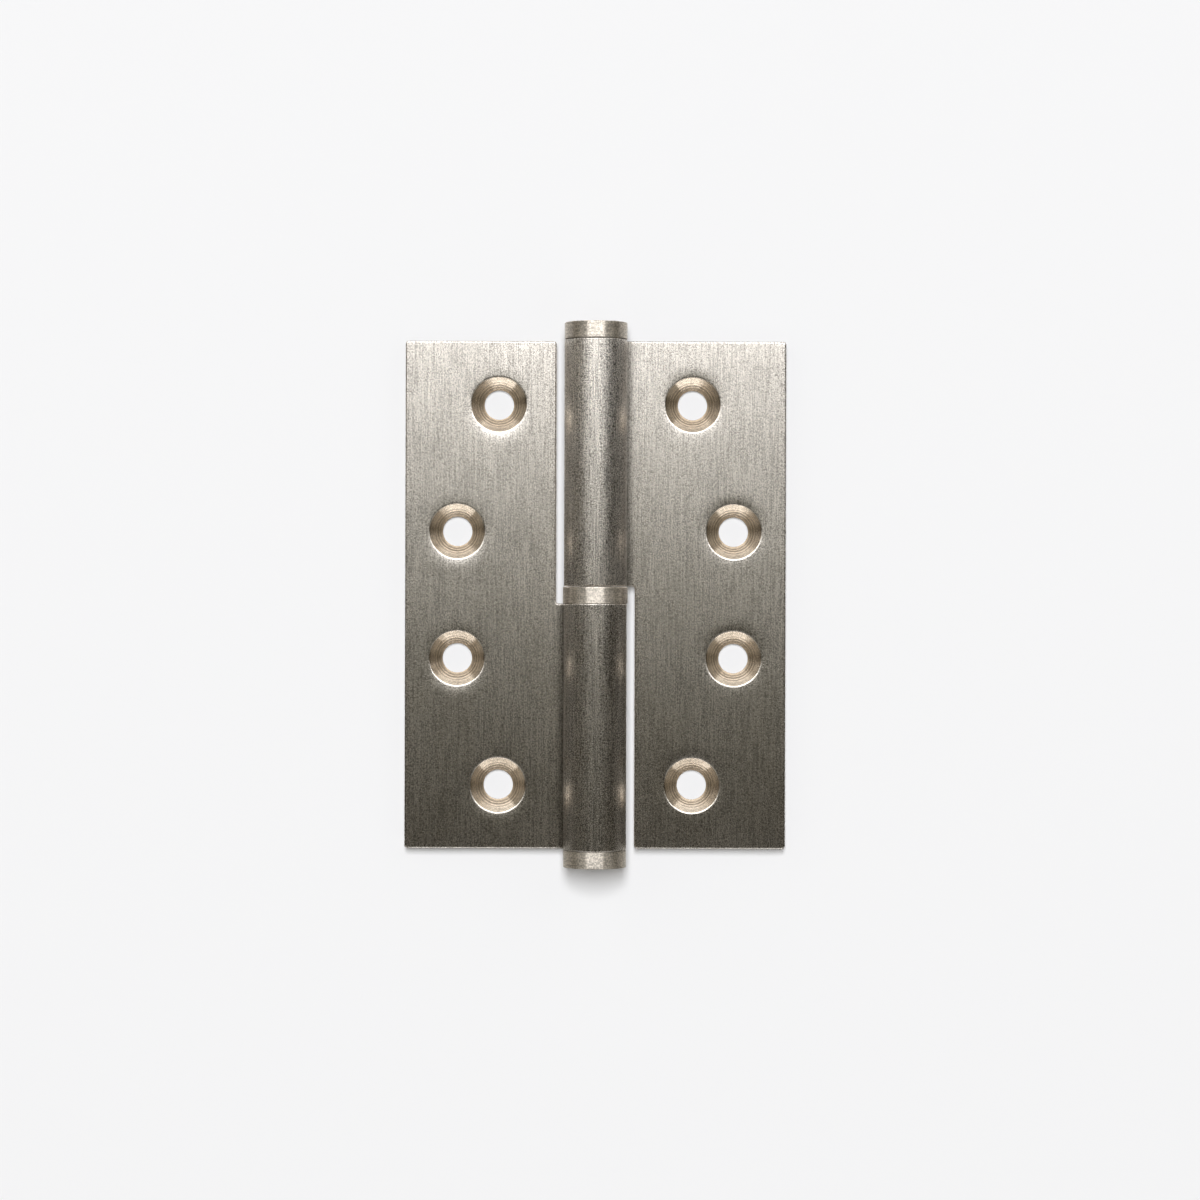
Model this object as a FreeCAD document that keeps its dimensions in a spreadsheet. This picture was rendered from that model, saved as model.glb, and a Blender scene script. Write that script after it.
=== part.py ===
"""Lift off hinge, 101.6 by 76.2 mm open, upright as it is hung.

The pin's line is the Z axis and the origin is on it, at the hinge's mid-height. The leaves lie flat
open in the XZ plane: the frame leaf to -X and the door leaf to +X. Their countersunk faces look
along -Y, and their backs, which bear on the frame and the door, along +Y.
"""
import FreeCAD, Part
import math
import os
import re

import Sketcher

Vector = FreeCAD.Vector
CLOSE = 1e-4
QUARTER_TURN = math.pi / 2
FULL_TURN = 2 * math.pi
ORIGIN_POINT = (-1, 1)

# Driving dimensions in millimetres and degrees: name, value, meaning.
SIZES = [
    ("leaf_height", 101.6, "height of both leaves"),
    ("leaf_width", 38.1, "pin line to the outer edge of a leaf"),
    ("plate_thickness", 3.0, "thickness of the leaf strip"),
    ("bore_diameter", 6.5, "inside of the rolled knuckles"),
    ("seam_gap", 0.15, "rolled end of the strip to the face of the leaf"),
    ("notch_clearance", 1.65, "knuckle to the edge of the other leaf beside it"),
    ("notch_radius", 0.5, "inner corner of the notch"),
    ("edge_rounding", 0.45, "front edges and corners of a leaf"),
    ("back_chamfer", 0.25, "back edges of a leaf and outer ends of its knuckle"),
    ("end_hole_inset", 19.4, "pin line to the screw holes near the leaf's ends"),
    ("end_hole_spacing", 76.2, "between the screw holes near the leaf's ends"),
    ("middle_hole_inset", 27.7, "pin line to the two middle screw holes"),
    ("middle_hole_spacing", 25.4, "between the two middle screw holes"),
    ("screw_hole_diameter", 5.9, "through part of a screw hole"),
    ("countersink_diameter", 10.85, "mouth of a screw hole"),
    ("countersink_angle", 90.0, "included angle of a countersink"),
    ("ring_height", 3.35, "bearing ring"),
    ("ring_overhang", 0.2, "bearing ring past the knuckles, all round"),
    ("ring_play", 0.15, "bearing ring to the upper knuckle"),
    ("ring_chamfer", 0.15, "edges of the bearing ring"),
    ("running_clearance", 0.05, "pin to the bores that turn on it, at the radius"),
    ("pin_end_gap", 0.5, "lower end of the pin to the bottom cap's spigot"),
    ("tip_gap", 4.55, "tip of the pin to the top cap's spigot"),
    ("pin_end_chamfer", 0.5, "lower end of the pin"),
    ("tip_length", 1.6, "tapered tip of the pin"),
    ("tip_taper", 0.9, "what the tip loses at the radius"),
    ("cap_height", 3.4, "head of a cap"),
    ("cap_chamfer", 0.15, "edges of a cap's head"),
    ("spigot_length", 4.5, "cap's spigot in the knuckle"),
    ("spigot_chamfer", 0.4, "end of the spigot"),
]

# Sizes that follow from the driving ones: name, formula, meaning.
DERIVED = [
    ("bore_radius", "bore_diameter / 2", "inside of the knuckles"),
    ("knuckle_radius", "bore_radius + plate_thickness", "outside of the knuckles"),
    ("half_height", "leaf_height / 2", "origin to the ends of the leaves"),
    ("half_gap", "(ring_height + ring_play) / 2", "origin to the knuckles' inner ends"),
    ("notch_edge", "knuckle_radius + notch_clearance", "pin line to the notch's long edge"),
    ("ring_radius", "knuckle_radius + ring_overhang", "outside of the bearing ring"),
    ("running_radius", "bore_radius - running_clearance", "pin where ring and leaf turn on it"),
]


def make_sheet(doc):
    """Spreadsheet of the driving dimensions, with the sizes that follow from them below."""
    sheet = doc.addObject("Spreadsheet::Sheet", "sizes")
    for row, (name, value, meaning) in enumerate(SIZES, start=1):
        sheet.set(f"A{row}", name)
        sheet.set(f"B{row}", str(value))
        sheet.set(f"C{row}", meaning)
        sheet.setAlias(f"B{row}", name)
    for row, (name, formula, meaning) in enumerate(DERIVED, start=len(SIZES) + 1):
        sheet.set(f"A{row}", name)
        sheet.set(f"B{row}", "=" + formula)
        sheet.set(f"C{row}", meaning)
        sheet.setAlias(f"B{row}", name)
    doc.recompute()


def bound(formula):
    """The formula with each of its names read from the sheet."""
    return re.sub(r"[a-z]\w*", r"sizes.\g<0>", formula)


def value_of(thing, formula):
    """What the formula comes to now."""
    return float(thing.evalExpression(bound(formula)))


def make_body(doc, label):
    body = doc.addObject("PartDesign::Body", label)
    body.Label = label
    return body


def origin_plane(body, role):
    return next(part for part in body.Origin.OriginFeatures if part.Role == role)


def make_sketch(body, purpose, role, offset="0"):
    """Sketch on one of the body's own planes, moved along the plane's normal by the offset."""
    sketch = body.newObject("Sketcher::SketchObject", f"{body.Name}_{purpose}")
    sketch.AttachmentSupport = [(origin_plane(body, role), "")]
    sketch.MapMode = "FlatFace"
    sketch.setExpression("AttachmentOffset.Base.z", bound(offset))
    return sketch


def make_feature(body, kind, purpose, **formulas):
    """Feature of the body whose sizes are bound to the sheet."""
    feature = body.newObject(f"PartDesign::{kind}", f"{body.Name}_{purpose}")
    for name, formula in formulas.items():
        feature.setExpression(name, bound(formula))
    return feature


def constrain(sketch, kind, *where, to):
    """Dimension in a sketch that follows a formula."""
    index = sketch.addConstraint(Sketcher.Constraint(kind, *where, value_of(sketch, to)))
    sketch.setExpression(f"Constraints[{index}]", bound(to))


def place_point(sketch, line, end, across, up):
    constrain(sketch, "DistanceX", *ORIGIN_POINT, line, end, to=across)
    constrain(sketch, "DistanceY", *ORIGIN_POINT, line, end, to=up)


def draw_outline(sketch, corners):
    """Closed outline of straight lines through corners, each a pair of formulas."""
    points = [Vector(value_of(sketch, across), value_of(sketch, up), 0) for across, up in corners]
    following = points[1:] + points[:1]
    lines = [sketch.addGeometry(Part.LineSegment(*ends)) for ends in zip(points, following)]
    for line, next_line in zip(lines, lines[1:] + lines[:1]):
        sketch.addConstraint(Sketcher.Constraint("Coincident", line, 2, next_line, 1))
    for line, (across, up) in zip(lines, corners):
        place_point(sketch, line, 1, across, up)


def edges_where(feature, wanted):
    """Names of the feature's edges whose two ends and middle all pass the test."""
    names = []
    for index, edge in enumerate(feature.Shape.Edges, start=1):
        middle = edge.valueAt((edge.FirstParameter + edge.LastParameter) / 2)
        ends = [vertex.Point for vertex in edge.Vertexes]
        if wanted(edge, ends + [middle]):
            names.append(f"Edge{index}")
    return names


def all_at(points, axis, place):
    return all(abs(getattr(point, axis) - place) < CLOSE for point in points)


def draw_curl(sketch):
    """Section of the rolled knuckle: from the pin line at the leaf's back, forwards round the pin
    and back to the leaf's face, where the strip's sheared end stops short by the seam's gap."""
    bore = value_of(sketch, "bore_radius")
    outside = value_of(sketch, "knuckle_radius")
    end_angle = math.pi - math.asin(value_of(sketch, "bore_radius - seam_gap") / outside)
    start_angle = QUARTER_TURN + FULL_TURN
    end_way = Vector(math.cos(end_angle), math.sin(end_angle), 0)
    axis = Vector(0, 0, 1)
    inner = sketch.addGeometry(
        Part.ArcOfCircle(Part.Circle(Vector(), axis, bore), end_angle, start_angle))
    outer = sketch.addGeometry(
        Part.ArcOfCircle(Part.Circle(Vector(), axis, outside), end_angle, start_angle))
    sheared_end = sketch.addGeometry(Part.LineSegment(end_way * bore, end_way * outside))
    root = sketch.addGeometry(Part.LineSegment(Vector(0, bore, 0), Vector(0, outside, 0)))
    for first, second in (
        ((inner, 3), ORIGIN_POINT),
        ((outer, 3), ORIGIN_POINT),
        ((inner, 1), (sheared_end, 1)),
        ((outer, 1), (sheared_end, 2)),
        ((inner, 2), (root, 1)),
        ((outer, 2), (root, 2)),
    ):
        sketch.addConstraint(Sketcher.Constraint("Coincident", *first, *second))
    sketch.addConstraint(Sketcher.Constraint("Vertical", root))
    sketch.addConstraint(Sketcher.Constraint("PointOnObject", *ORIGIN_POINT, sheared_end))
    constrain(sketch, "DistanceX", *ORIGIN_POINT, root, 1, to="0")
    constrain(sketch, "Radius", inner, to="bore_radius")
    constrain(sketch, "Radius", outer, to="knuckle_radius")
    constrain(sketch, "DistanceY", *ORIGIN_POINT, sheared_end, 2, to="bore_radius - seam_gap")


def make_leaf(doc, label):
    """Leaf to -X of the pin line, rolled at its lower half and notched at its upper half."""
    body = make_body(doc, label)
    half_height = value_of(body, "half_height")
    leaf_width = value_of(body, "leaf_width")
    notch_edge = value_of(body, "notch_edge")
    front = value_of(body, "bore_radius")
    back = value_of(body, "knuckle_radius")

    # The blank's flat part, whose face is level with the bore and back with the knuckle's outside.
    blank = make_sketch(body, "blank", "XZ_Plane", offset="-bore_radius")
    draw_outline(blank, [
        ("-leaf_width", "-half_height"),
        ("0", "-half_height"),
        ("0", "-half_gap"),
        ("-notch_edge", "-half_gap"),
        ("-notch_edge", "half_height"),
        ("-leaf_width", "half_height"),
    ])
    plate = make_feature(body, "Pad", "plate", Length="plate_thickness")
    plate.Profile = blank
    plate.Reversed = True
    doc.recompute()

    half_gap = value_of(body, "half_gap")
    notch_corner = make_feature(body, "Fillet", "notch_corner", Radius="notch_radius")
    notch_corner.Base = (plate, edges_where(
        plate,
        lambda edge, points: all_at(points, "x", -notch_edge) and all_at(points, "z", -half_gap)))
    doc.recompute()

    # Front edges, short of the pin line, and the three outer corners, rounded alike.
    outer_corners = [(-leaf_width, -half_height), (-leaf_width, half_height),
                     (-notch_edge, half_height)]

    def is_front_or_corner(edge, points):
        if all_at(points, "x", 0):
            return False
        at_corner = any(all_at(points, "x", across) and all_at(points, "z", up)
                        for across, up in outer_corners)
        return at_corner or all_at(points, "y", front)

    rounded = make_feature(body, "Fillet", "front_edges", Radius="edge_rounding")
    rounded.Base = (notch_corner, edges_where(notch_corner, is_front_or_corner))
    doc.recompute()

    # The rolled knuckle.
    section = make_sketch(body, "curl", "XY_Plane", offset="-half_height")
    draw_curl(section)
    knuckle = make_feature(body, "Pad", "knuckle", Length="half_height - half_gap")
    knuckle.Profile = section
    doc.recompute()

    def is_back_or_knuckle_end(edge, points):
        if all_at(points, "x", 0):
            return False
        on_outside = all(abs(math.hypot(point.x, point.y) - back) < CLOSE for point in points)
        at_end = all_at(points, "z", -half_height) or all_at(points, "z", -half_gap)
        return all_at(points, "y", back) or (on_outside and at_end)

    broken = make_feature(body, "Chamfer", "back_edges", Size="back_chamfer")
    broken.Base = (knuckle, edges_where(knuckle, is_back_or_knuckle_end))
    doc.recompute()

    # The screw holes, countersunk from the front.
    places = make_sketch(body, "screws", "XZ_Plane", offset="-bore_radius")
    for inset, spacing in (("end_hole_inset", "end_hole_spacing"),
                           ("middle_hole_inset", "middle_hole_spacing")):
        for side in ("-", ""):
            up = f"{side}{spacing} / 2"
            centre = Vector(-value_of(places, inset), value_of(places, up), 0)
            radius = value_of(places, "screw_hole_diameter / 2")
            hole = places.addGeometry(Part.Circle(centre, Vector(0, 0, 1), radius))
            constrain(places, "Diameter", hole, to="screw_hole_diameter")
            place_point(places, hole, 3, "-" + inset, up)
    doc.recompute()
    screw_holes = make_feature(body, "Hole", "screw_holes")
    screw_holes.Profile = places
    screw_holes.Threaded = False
    screw_holes.DepthType = "ThroughAll"
    screw_holes.HoleCutType = "Countersink"
    screw_holes.HoleCutCustomValues = True
    screw_holes.setExpression("Diameter", bound("screw_hole_diameter"))
    screw_holes.setExpression("HoleCutDiameter", bound("countersink_diameter"))
    screw_holes.setExpression("HoleCutCountersinkAngle", bound("countersink_angle"))
    doc.recompute()
    return body


def make_turned(doc, label, corners):
    """Piece turned about the Z axis from half a section, its corners as (radius, height)."""
    body = make_body(doc, label)
    section = make_sketch(body, "section", "XZ_Plane")
    draw_outline(section, corners)
    turned = make_feature(body, "Revolution", "turned")
    turned.Profile = section
    turned.ReferenceAxis = (section, ["V_Axis"])
    doc.recompute()
    return body


def make_pin(doc):
    """Pin pressed into the lower knuckle, slightly slimmer above it, with a tapered tip."""
    foot = "-half_height + spigot_length + pin_end_gap"
    tip = "half_height - spigot_length - tip_gap"
    return make_turned(doc, "hinge_pin", [
        ("0", foot),
        ("bore_radius - pin_end_chamfer", foot),
        ("bore_radius", f"{foot} + pin_end_chamfer"),
        ("bore_radius", "-half_gap"),
        ("running_radius", "-half_gap"),
        ("running_radius", f"{tip} - tip_length"),
        ("running_radius - tip_taper", tip),
        ("0", tip),
    ])


def make_ring(doc):
    """Ring that stands on the lower knuckle and carries the upper one."""
    top = "-half_gap + ring_height"
    return make_turned(doc, "bearing_ring", [
        ("bore_radius", "-half_gap + ring_chamfer"),
        ("bore_radius + ring_chamfer", "-half_gap"),
        ("ring_radius - ring_chamfer", "-half_gap"),
        ("ring_radius", "-half_gap + ring_chamfer"),
        ("ring_radius", f"{top} - ring_chamfer"),
        ("ring_radius - ring_chamfer", top),
        ("bore_radius + ring_chamfer", top),
        ("bore_radius", f"{top} - ring_chamfer"),
    ])


def make_cap(doc, label):
    """Cap under the lower knuckle: a head as wide as the knuckle, and a spigot up into its bore."""
    foot = "-half_height - cap_height"
    spigot = "-half_height + spigot_length"
    return make_turned(doc, label, [
        ("0", foot),
        ("knuckle_radius - cap_chamfer", foot),
        ("knuckle_radius", f"{foot} + cap_chamfer"),
        ("knuckle_radius", "-half_height - cap_chamfer"),
        ("knuckle_radius - cap_chamfer", "-half_height"),
        ("bore_radius", "-half_height"),
        ("bore_radius", f"{spigot} - spigot_chamfer"),
        ("bore_radius - spigot_chamfer", spigot),
        ("0", spigot),
    ])


def turn_end_for_end(body):
    """Turn a piece half round about the Y axis, which brings the lower end up and -X to +X."""
    body.Placement = FreeCAD.Placement(Vector(), FreeCAD.Rotation(Vector(0, 1, 0), 180))


def check(doc, bodies):
    """Stop if any object of the document failed, or a piece isn't one sound solid."""
    for thing in doc.Objects:
        if "Invalid" in thing.State or "Error" in thing.State:
            raise RuntimeError(f"{thing.Label}: {thing.State}")
    for body in bodies:
        shape = body.Shape
        if shape.isNull() or not shape.isValid() or len(shape.Solids) != 1:
            raise RuntimeError(f"{body.Label} isn't one sound solid")


def main():
    doc = FreeCAD.newDocument("lift_off_hinge")
    make_sheet(doc)
    door_leaf = make_leaf(doc, "door_leaf")
    top_cap = make_cap(doc, "top_cap")
    for body in (door_leaf, top_cap):
        turn_end_for_end(body)
    bodies = [
        make_leaf(doc, "frame_leaf"),
        door_leaf,
        make_pin(doc),
        make_ring(doc),
        top_cap,
        make_cap(doc, "bottom_cap"),
    ]
    doc.recompute()
    check(doc, bodies)
    os.makedirs("parts", exist_ok=True)
    for body in bodies:
        body.Shape.exportStep(f"parts/{body.Label}.step")
        box = body.Shape.BoundBox
        print(f"{body.Label}: {body.Shape.Volume:.1f} mm3, "
              f"{box.XLength:.2f} x {box.YLength:.2f} x {box.ZLength:.2f} mm")


main()
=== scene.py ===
import math

import bmesh
import bpy
from bpy.props import FloatProperty, FloatVectorProperty, IntProperty, PointerProperty
from mathutils import Matrix, Vector
from mathutils.geometry import delaunay_2d_cdt


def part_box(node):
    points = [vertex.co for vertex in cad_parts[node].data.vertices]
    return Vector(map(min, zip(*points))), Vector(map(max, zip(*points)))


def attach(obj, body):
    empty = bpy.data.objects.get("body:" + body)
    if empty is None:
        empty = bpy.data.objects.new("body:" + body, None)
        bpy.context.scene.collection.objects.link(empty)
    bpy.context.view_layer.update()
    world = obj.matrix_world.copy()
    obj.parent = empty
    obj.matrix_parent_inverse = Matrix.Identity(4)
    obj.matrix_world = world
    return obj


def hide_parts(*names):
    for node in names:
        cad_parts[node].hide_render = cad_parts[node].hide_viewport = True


bl_info = {
    "name": "Lift off hinge",
    "version": (1, 0),
    "blender": (4, 5, 0),
    "location": "3D View > Sidebar > Hinge",
    "description": "Builds the leaves, ring, pin and caps of a lift off hinge on its solid model",
    "category": "Object",
}

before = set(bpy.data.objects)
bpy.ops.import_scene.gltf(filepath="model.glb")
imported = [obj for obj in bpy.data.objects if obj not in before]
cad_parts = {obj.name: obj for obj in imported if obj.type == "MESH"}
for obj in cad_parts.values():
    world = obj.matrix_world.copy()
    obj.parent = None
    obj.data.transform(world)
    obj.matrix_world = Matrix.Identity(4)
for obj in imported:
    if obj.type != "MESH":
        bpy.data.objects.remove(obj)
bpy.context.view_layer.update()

MM = 0.001
QUARTER_TURN = math.pi / 2
HALF_TURN = math.pi
FULL_TURN = 2 * math.pi
PIN_WAY = (0.0, 0.0, 1.0)
BACK_WAY = (0.0, 1.0, 0.0)

# Places and sizes read from the solid model: its lowest and highest corners.
LEAF_LOW, LEAF_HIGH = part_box("frame_leaf")
RING_LOW, RING_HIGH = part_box("bearing_ring")
PIN_LOW, PIN_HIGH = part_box("hinge_pin")
CAP_LOW, CAP_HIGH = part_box("bottom_cap")
LEAF_WIDTH = -LEAF_LOW.x
HALF_HEIGHT = LEAF_HIGH.z
HALF_GAP = -RING_LOW.z
KNUCKLE_RADIUS = LEAF_HIGH.y

# Thickness of the strip that a leaf is made of.
SHEET = 3.0 * MM

# How the leaves are drawn: lengths that count as none, steps of the roundings, steps and curve of the
# dish, and the length before the pin line over which the front edges' rounding gives way to the bore's.
CLOSE = 1e-7
WELD = 1e-6
EDGE_STEPS = 6
CORNER_STEPS = 6
DISH_STEPS = 14
DISH_POWER = 3.0
ROUNDING_FADE = KNUCKLE_RADIUS
FADE_STEPS = 4

# Lights before the hinge: distances from the pin line, and angles across and up.
LIGHT_DISTANCE = 0.70
MAIN_ACROSS = (math.radians(-32.5), math.radians(32.0))
MAIN_RISE = (math.radians(-12.0), math.radians(45.0))
LOW_ACROSS = (math.radians(-31.0), math.radians(33.0))
LOW_RISE = (math.radians(-45.0), math.radians(-13.0))
BOARD_LIGHT_DISTANCE = 6.0
BOARD_ACROSS = (math.radians(-9.0), math.radians(7.0))
BOARD_RISE = (math.radians(-1.0), math.radians(30.0))

# The main light is full above one angle, fades below it and grows warm, and a tongue of it goes lower.
FULL_RISE = math.radians(17.0)
FADE_POWER = 3.2
WHITE = (1.0, 1.0, 1.0, 1.0)
WARM_GLOW = (1.03, 1.0, 0.76)
TONGUE_WIDTH = math.radians(20.0)
TONGUE_SHARE = 0.010
TONGUE_TOP = 0.35

# Lights past the hinge's ends: their distance, and where each starts and ends before the pin line.
END_LIGHT_DISTANCE = 1.2
TOP_LIGHT = (-1.2, -0.12)
BOTTOM_LIGHT = (-0.40, -0.10)

# Colours of the surroundings: what the camera sees, then what the metal sees.
BACKDROP = (0.91, 0.91, 0.91)
DIM_ROOM = (0.042, 0.036, 0.025)
WINDOW = (0.30, 0.27, 0.22)
TABLE_AND_CEILING = (0.36, 0.345, 0.305)
BEHIND_LOW = (0.25, 0.24, 0.215)
BEHIND_HIGH = (0.60, 0.59, 0.57)
BEHIND_GAIN = (1.5, 1.5, 1.5)

# Painted shade for the crevices by the knuckles, and the range in which most of a grain's noise lies.
CREVICE_SHADE = (0.05, 0.042, 0.03)
GRAIN_LOW = 0.3
GRAIN_HIGH = 0.7


# Sizes and colours

class HingeLeafSizes(bpy.types.PropertyGroup):
    thickness: FloatProperty(
        name="Thickness", description="Thickness of the strip", default=SHEET, unit="LENGTH")
    seam_gap: FloatProperty(
        name="Seam gap", description="Rolled end of the strip to the face of the leaf",
        default=0.15 * MM, unit="LENGTH")
    notch_clearance: FloatProperty(
        name="Notch clearance", description="Knuckle to the edge of the other leaf beside it",
        default=1.65 * MM, unit="LENGTH")
    notch_rounding: FloatProperty(
        name="Notch rounding", description="Inner corner of the notch", default=0.5 * MM, unit="LENGTH")
    corner_rounding: FloatProperty(
        name="Corner rounding", description="Outer corners of a leaf", default=0.6 * MM, unit="LENGTH")
    front_rounding: FloatProperty(
        name="Front rounding", description="Edges round the front face", default=0.35 * MM, unit="LENGTH")
    back_rounding: FloatProperty(
        name="Back rounding", description="Edges round the back face and the knuckle's ends",
        default=0.25 * MM, unit="LENGTH")
    bore_rounding: FloatProperty(
        name="Bore rounding", description="Edges of the bore", default=0.1 * MM, unit="LENGTH")
    curl_rounding: FloatProperty(
        name="Curl rounding", description="Corners of the rolled end of the strip", default=0.3 * MM,
        unit="LENGTH")
    curl_steps: IntProperty(
        name="Curl steps", description="Flats that make the rolled knuckle", default=72, min=12)


class HingeHoleSizes(bpy.types.PropertyGroup):
    end_inset: FloatProperty(
        name="End inset", description="Pin line to the screw holes near the leaf's ends",
        default=19.4 * MM, unit="LENGTH")
    end_spacing: FloatProperty(
        name="End spacing", description="Between the screw holes near the leaf's ends",
        default=76.2 * MM, unit="LENGTH")
    middle_inset: FloatProperty(
        name="Middle inset", description="Pin line to the two middle screw holes",
        default=27.7 * MM, unit="LENGTH")
    middle_spacing: FloatProperty(
        name="Middle spacing", description="Between the two middle screw holes",
        default=25.4 * MM, unit="LENGTH")
    hole_diameter: FloatProperty(
        name="Hole diameter", description="Through part of a screw hole", default=5.9 * MM, unit="LENGTH")
    mouth_diameter: FloatProperty(
        name="Mouth diameter", description="Mouth of the countersink before its edge is rounded",
        default=11.05 * MM, unit="LENGTH")
    sink_depth: FloatProperty(
        name="Countersink depth", description="Face of the leaf to the foot of the countersink",
        default=2.6 * MM, unit="LENGTH")
    rim_rounding: FloatProperty(
        name="Rim rounding", description="Polished edge of the mouth", default=0.6 * MM, unit="LENGTH")
    dish_width: FloatProperty(
        name="Dish width", description="Face round the mouth that the polishing has hollowed",
        default=4.0 * MM, unit="LENGTH")
    dish_slope: FloatProperty(
        name="Dish slope", description="Slope of the hollowed face where it meets the mouth",
        default=math.radians(4.5), subtype="ANGLE")
    dish_lean: FloatProperty(
        name="Dish lean", description="How much deeper the hollow is below a hole than above it",
        default=0.6, min=0.0, max=1.0)
    sides: IntProperty(name="Sides", description="Flats round a hole", default=72, min=12)


class HingeTurnedSizes(bpy.types.PropertyGroup):
    cap_rounding: FloatProperty(
        name="Cap rounding", description="Edges of a cap's head", default=0.22 * MM, unit="LENGTH")
    spigot_rounding: FloatProperty(
        name="Spigot rounding", description="End of a cap's spigot", default=0.4 * MM, unit="LENGTH")
    ring_rounding: FloatProperty(
        name="Ring rounding", description="Edges of the bearing ring", default=0.18 * MM, unit="LENGTH")
    running_clearance: FloatProperty(
        name="Running clearance", description="Pin to the bore that turns on it",
        default=0.05 * MM, unit="LENGTH")
    foot_rounding: FloatProperty(
        name="Foot rounding", description="Lower end of the pin", default=0.5 * MM, unit="LENGTH")
    tip_length: FloatProperty(
        name="Tip length", description="Tapered tip of the pin", default=1.6 * MM, unit="LENGTH")
    tip_taper: FloatProperty(
        name="Tip taper", description="What the tip loses at the radius", default=0.9 * MM, unit="LENGTH")
    tip_rounding: FloatProperty(
        name="Tip rounding", description="Edges of the pin's tip", default=0.3 * MM, unit="LENGTH")
    sides: IntProperty(name="Sides", description="Flats round a turned piece", default=144, min=12)


class HingeFinishes(bpy.types.PropertyGroup):
    leaf_colour: FloatVectorProperty(
        name="Leaves", description="Satin nickel of the leaves", size=3, subtype="COLOR",
        min=0.0, max=1.0, default=(0.652, 0.615, 0.573))
    cut_colour: FloatVectorProperty(
        name="Countersinks", description="Cut metal of the countersinks", size=3, subtype="COLOR",
        min=0.0, max=1.0, default=(0.66, 0.575, 0.475))
    turned_colour: FloatVectorProperty(
        name="Ring and caps", description="Turned metal of the ring and the caps", size=3, subtype="COLOR",
        min=0.0, max=1.0, default=(0.625, 0.575, 0.512))
    pin_colour: FloatVectorProperty(
        name="Pin", description="Ground steel of the pin", size=3, subtype="COLOR",
        min=0.0, max=1.0, default=(0.60, 0.59, 0.56))


class HingeStage(bpy.types.PropertyGroup):
    camera_distance: FloatProperty(
        name="Camera distance", description="Camera to the pin line", default=0.650, unit="LENGTH")
    camera_across: FloatProperty(
        name="Camera across", description="Camera to the right of the pin line", default=0.94 * MM,
        unit="LENGTH")
    camera_up: FloatProperty(
        name="Camera height", description="Camera above the hinge's mid-height", default=-1.02 * MM,
        unit="LENGTH")
    camera_roll: FloatProperty(
        name="Camera roll", description="Turn of the picture", default=math.radians(-0.18), subtype="ANGLE")
    lens: FloatProperty(name="Lens", description="Focal length in millimetres", default=97.9)
    board_gap: FloatProperty(
        name="Board gap", description="Back of the leaves to the board", default=0.25 * MM, unit="LENGTH")
    board_size: FloatProperty(
        name="Board size", description="Width and height of the board", default=6.0, unit="LENGTH")
    board_colour: FloatVectorProperty(
        name="Board", description="Pale board that the hinge lies on", size=3, subtype="COLOR",
        min=0.0, max=1.0, default=(0.872, 0.88, 0.905))
    main_radiance: FloatProperty(
        name="Main light", description="Radiance on the metal of the soft light above the camera",
        default=4.1)
    low_radiance: FloatProperty(
        name="Low light", description="Radiance on the metal of the soft light under the camera",
        default=0.22)
    top_radiance: FloatProperty(
        name="Top light", description="Radiance on the metal of the broad light past the hinge's top",
        default=1.75)
    bottom_radiance: FloatProperty(
        name="Bottom light", description="Radiance on the metal of the strip light past the hinge's bottom",
        default=3.2)
    board_radiance: FloatProperty(
        name="Board light", description="Radiance on the board of the upright strip light", default=20.4)


SETTINGS = {
    "hinge_leaf": HingeLeafSizes,
    "hinge_holes": HingeHoleSizes,
    "hinge_turned": HingeTurnedSizes,
    "hinge_finishes": HingeFinishes,
    "hinge_stage": HingeStage,
}


# Node trees

def add_node(tree, kind, inputs=None, **settings):
    """A node with its settings, and its inputs by name or number: a socket is linked, a value is set."""
    node = tree.nodes.new(kind)
    for name, value in settings.items():
        setattr(node, name, value)
    for key, value in (inputs or {}).items():
        if isinstance(value, bpy.types.NodeSocket):
            tree.links.new(value, node.inputs[key])
        else:
            node.inputs[key].default_value = value
    return node


def add_maths(tree, operation, *values):
    inputs = dict(enumerate(values))
    return add_node(tree, "ShaderNodeMath", inputs, operation=operation).outputs[0]


def add_remap(tree, value, low, high, to_low=0.0, to_high=1.0, smooth=True):
    inputs = {"Value": value, "From Min": low, "From Max": high, "To Min": to_low, "To Max": to_high}
    kind = "SMOOTHSTEP" if smooth else "LINEAR"
    return add_node(tree, "ShaderNodeMapRange", inputs, interpolation_type=kind).outputs["Result"]


def add_colour_mix(tree, share, first, second, blend="MIX"):
    """Mix of two colours, whose sockets have the numbers 6 and 7, and 2 for the outcome."""
    node = add_node(tree, "ShaderNodeMix", data_type="RGBA", blend_type=blend)
    for key, value in ((0, share), (6, first), (7, second)):
        if isinstance(value, bpy.types.NodeSocket):
            tree.links.new(value, node.inputs[key])
        elif key == 0:
            node.inputs[key].default_value = value
        else:
            node.inputs[key].default_value = (*value[:3], 1.0)
    return node.outputs[2]


# Finishes

def add_grain(tree, place, size, detail=2.0, roughness=0.5):
    """Noise from 0 to 1 whose grains have that size, in metres, along each of the piece's axes."""
    scaled = add_node(tree, "ShaderNodeVectorMath", {0: place, 1: [1 / length for length in size]},
                      operation="MULTIPLY").outputs[0]
    noise = add_node(tree, "ShaderNodeTexNoise",
                     {"Vector": scaled, "Scale": 1.0, "Detail": detail, "Roughness": roughness})
    return noise.outputs["Fac"]


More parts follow.
